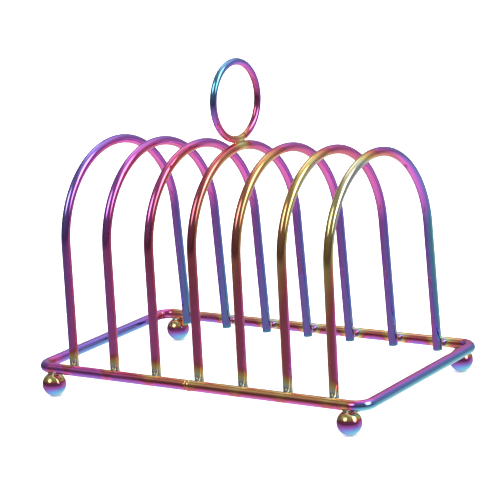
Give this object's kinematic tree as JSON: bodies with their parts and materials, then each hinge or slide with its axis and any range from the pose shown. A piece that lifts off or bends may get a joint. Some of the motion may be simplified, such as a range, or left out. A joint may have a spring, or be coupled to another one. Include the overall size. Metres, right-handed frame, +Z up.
{
  "type": "toast rack",
  "caption": "Wire toast rack: bent arches on a rounded rectangular base frame, with ball feet and a ring handle, in a rainbow metallic finish.",
  "frame": {"origin": "on the table top under the rack's centre, where the ball feet touch", "axes": "+X along the row of arches, -Y to the front (the side with the base wire's seam), +Z up"},
  "size_m": [0.178, 0.108, 0.1493],
  "materials": {
    "base_wire": "polished steel with a rainbow interference coat, pink to violet",
    "arch_wire": "polished steel with a rainbow interference coat, maroon to violet",
    "ring_wire": "polished steel with a rainbow interference coat, violet to blue",
    "ball_foot": "polished steel with a rainbow interference coat, gold to blue",
    "weld_metal": "thinly coated weld metal, silver to pale gold"
  },
  "bodies": {
    "root": {"base_frame": "base_wire", "frame_butt_weld": "base_wire", "arch_1": "arch_wire", "arch_2": "arch_wire", "arch_3": "arch_wire", "arch_4": "arch_wire", "arch_5": "arch_wire", "arch_6": "arch_wire", "arch_7": "arch_wire", "ring_handle": "ring_wire", "ring_weld": "weld_metal", "foot_front_left": "ball_foot", "foot_front_right": "ball_foot", "foot_back_left": "ball_foot", "foot_back_right": "ball_foot", "foot_welds": "weld_metal", "front_leg_welds": "weld_metal", "back_leg_welds": "weld_metal"}
  },
  "joints": []
}
